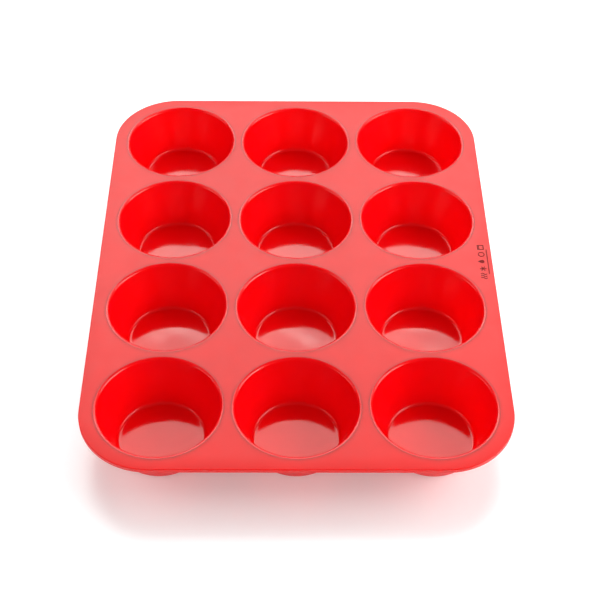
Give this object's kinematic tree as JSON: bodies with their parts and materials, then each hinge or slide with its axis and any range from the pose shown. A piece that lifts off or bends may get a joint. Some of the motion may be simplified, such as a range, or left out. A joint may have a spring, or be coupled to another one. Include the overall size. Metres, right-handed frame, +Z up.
{
  "type": "muffin tin",
  "caption": "Flexible silicone muffin pan: a flat rounded-rectangular deck carrying a grid of round, tapered, flat-bottomed cups with rounded lips.",
  "frame": {"origin": "bottom centre of the pan, on the surface that the cups stand on", "axes": "+Z up, +X across the width to the right with the care mark at the right edge, +Y along the length, away from the front row"},
  "size_m": [0.25, 0.325, 0.0321],
  "materials": {
    "deck_silicone": "satin moulded silicone",
    "cup_silicone": "glossy moulded silicone",
    "ink": "matte printed ink"
  },
  "bodies": {
    "root": {"deck": "deck_silicone", "cup_r1_c1": "cup_silicone", "cup_r1_c2": "cup_silicone", "cup_r1_c3": "cup_silicone", "cup_r2_c1": "cup_silicone", "cup_r2_c2": "cup_silicone", "cup_r2_c3": "cup_silicone", "cup_r3_c1": "cup_silicone", "cup_r3_c2": "cup_silicone", "cup_r3_c3": "cup_silicone", "cup_r4_c1": "cup_silicone", "cup_r4_c2": "cup_silicone", "cup_r4_c3": "cup_silicone", "care_mark": "ink"}
  },
  "joints": []
}
